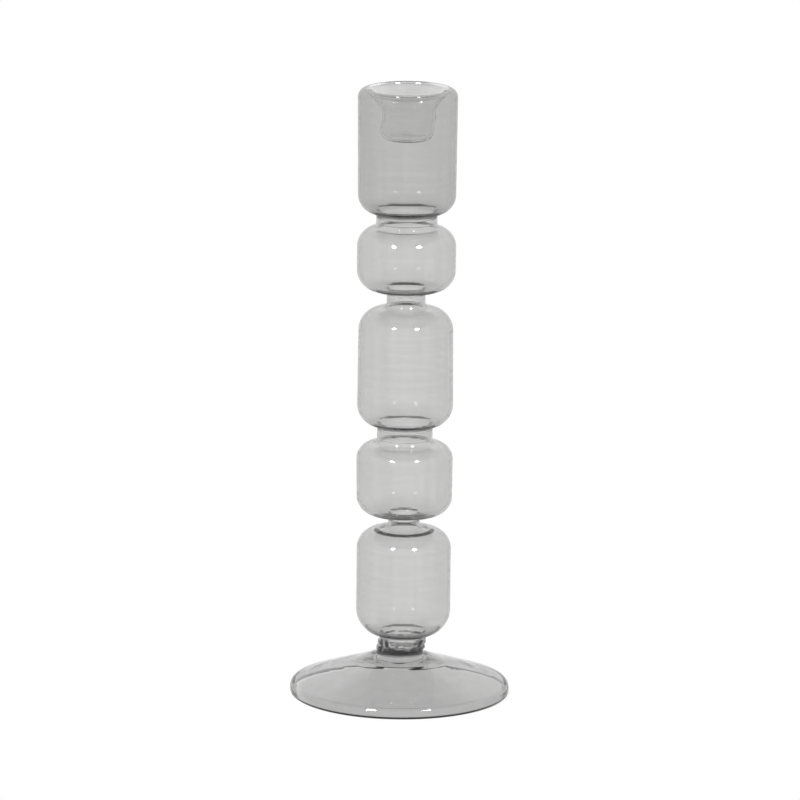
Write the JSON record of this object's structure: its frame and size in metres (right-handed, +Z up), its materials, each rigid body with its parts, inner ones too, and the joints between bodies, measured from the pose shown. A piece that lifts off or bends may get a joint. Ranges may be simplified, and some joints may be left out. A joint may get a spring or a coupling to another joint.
{
  "type": "glass candlestick",
  "caption": "Candlestick for a dinner candle: a stem of rounded hollow glass bulbs between narrow necks, a low domed foot and a cup sunk in the top bulb.",
  "frame": {"origin": "centre of the foot's underside, on the surface that the candlestick stands on", "axes": "+Z up the axis of the stem; the shape is turned about +Z, so X and Y are any two level directions"},
  "size_m": [0.1072, 0.1072, 0.3],
  "materials": {
    "smoked_glass": "clear smoke-grey blown borosilicate glass, fire-polished, with faint turning lines"
  },
  "bodies": {
    "root": {"foot": "smoked_glass", "foot_weld": "smoked_glass", "lowest_bulb": "smoked_glass", "lowest_neck": "smoked_glass", "lower_squat_bulb": "smoked_glass", "lower_neck": "smoked_glass", "middle_bulb": "smoked_glass", "upper_neck": "smoked_glass", "upper_squat_bulb": "smoked_glass", "highest_neck": "smoked_glass", "top_bulb": "smoked_glass", "candle_cup": "smoked_glass"}
  },
  "joints": []
}
